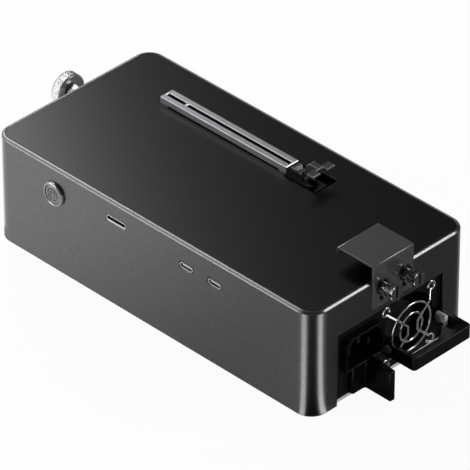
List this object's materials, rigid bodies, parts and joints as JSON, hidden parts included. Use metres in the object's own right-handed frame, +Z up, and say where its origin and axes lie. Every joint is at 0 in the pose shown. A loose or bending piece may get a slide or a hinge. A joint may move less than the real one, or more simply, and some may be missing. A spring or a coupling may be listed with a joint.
{
  "type": "external graphics card enclosure",
  "caption": "Low black aluminium box that holds a graphics card in a top slot with latch, card rest and clamp, with side sockets and a slide-in power supply with fan, handle and inlet.",
  "frame": {"origin": "on the floor plane under the middle of the housing, level with the undersides of the rubber feet", "axes": "+X along the box towards the power supply end, +Y to the back, away from the wall with the button and ports, +Z up"},
  "size_m": [0.2584, 0.1118, 0.0744],
  "materials": {
    "shell_black": "satin black anodised",
    "plate_black": "fine blasted black anodised",
    "base_grey": "brushed, clear anodised",
    "sheet_black": "black powder coat",
    "plated_steel": "zinc plated",
    "slot_steel": "tin plated",
    "bright_wire": "polished chrome",
    "knurled_black": "knurled, black nickel",
    "knurled_bright": "knurled, bright",
    "screw_black": "black oxide",
    "rubber_black": "matt",
    "board_black": "black solder mask",
    "board_green": "green solder mask",
    "connector_black": "moulded",
    "inlet_black": "moulded",
    "lever_black": "moulded",
    "contact_gold": "gold plated",
    "brass_plain": "machined",
    "sink_black": "black anodised fins",
    "can_silver": "drawn can",
    "sleeve_black": "shrink sleeve",
    "core_yellow": "taped winding",
    "fan_black": "moulded"
  },
  "bodies": {
    "enclosure": {"housing": "shell_black", "top_plate": "plate_black", "base_plate": "base_grey", "rubber_feet": "rubber_black", "case_screws": "screw_black", "main_board": "board_black", "board_standoffs": "brass_plain", "standoff_screws": "screw_black", "slot_board": "board_black", "slot_board_spacers": "brass_plain", "board_link": "connector_black", "bridge_chip": "connector_black", "heat_sink": "sink_black", "board_capacitors": "can_silver", "power_board": "board_black", "board_socket": "connector_black", "power_board_brackets": "plated_steel", "psu_socket": "connector_black", "psu_rail_left": "plated_steel", "psu_rail_right": "plated_steel", "slot_shell": "slot_steel", "slot_body": "connector_black", "slot_contacts": "contact_gold", "latch_base": "connector_black", "latch_pin": "plated_steel", "button_bezel": "knurled_black", "button_nut": "screw_black", "button_terminals": "plated_steel", "usb_c_port_1": "slot_steel", "usb_c_port_2": "slot_steel", "usb_c_tongues": "slot_steel", "data_port": "slot_steel", "data_port_tongue": "connector_black", "washer_left": "screw_black", "washer_right": "screw_black", "rest_nuts": "plated_steel", "clamp_post": "knurled_bright", "clamp_nut": "plated_steel"},
    "power_button": {"button_cap": "knurled_black"},
    "card_latch": {"card_latch": "connector_black"},
    "card_rest": {"card_rest": "sheet_black"},
    "thumbscrew_left": {"thumbscrew_left": "knurled_black"},
    "thumbscrew_right": {"thumbscrew_right": "knurled_black"},
    "clamp_knob": {"clamp_knob": "knurled_bright"},
    "power_supply": {"psu_case": "sheet_black", "psu_board": "board_green", "psu_transformer": "core_yellow", "psu_capacitors": "sleeve_black", "psu_heat_sinks": "can_silver", "power_inlet": "inlet_black", "inlet_pins": "plated_steel", "pull_handle": "sheet_black", "handle_screws": "plated_steel", "handle_clip": "plated_steel", "fan_frame": "fan_black", "fan_motor": "fan_black", "fan_guard": "bright_wire", "guard_screws": "screw_black"},
    "release_lever": {"release_lever": "lever_black"},
    "fan_rotor": {"fan_rotor": "fan_black"}
  },
  "joints": [
    {"name": "button_press", "type": "slide", "parent": "enclosure", "child": "power_button", "axis": [0, 1, 0], "range_m": [0, 0.0012], "stiffness_N_per_m": 600, "springref_m": -0.001},
    {"name": "latch_turn", "type": "hinge", "parent": "enclosure", "child": "card_latch", "pos_m": [0.0251, 0.0269, 0.0625], "axis": [0, 1, 0], "range_deg": [0, 25]},
    {"name": "rest_slide", "type": "slide", "parent": "enclosure", "child": "card_rest", "axis": [0, 0, 1], "range_m": [-0.002, 0.007]},
    {"name": "left_screw_turn", "type": "hinge", "parent": "enclosure", "child": "thumbscrew_left", "pos_m": [0.114, -0.008, 0.0598], "axis": [1, 0, 0], "continuous": true},
    {"name": "right_screw_turn", "type": "hinge", "parent": "enclosure", "child": "thumbscrew_right", "pos_m": [0.114, 0.008, 0.0598], "axis": [1, 0, 0], "continuous": true},
    {"name": "clamp_turn", "type": "hinge", "parent": "enclosure", "child": "clamp_knob", "pos_m": [-0.12, 0.0072, 0.0552], "axis": [-1, 0, 0], "continuous": true},
    {"name": "supply_slide", "type": "slide", "parent": "enclosure", "child": "power_supply", "axis": [1, 0, 0], "range_m": [0, 0.185]},
    {"name": "lever_press", "type": "slide", "parent": "power_supply", "child": "release_lever", "axis": [0, 1, 0], "range_m": [0, 0.0025], "stiffness_N_per_m": 800, "springref_m": -0.0015},
    {"name": "fan_spin", "type": "hinge", "parent": "power_supply", "child": "fan_rotor", "pos_m": [0.095, 0.0139, 0.02355], "axis": [1, 0, 0], "continuous": true}
  ]
}
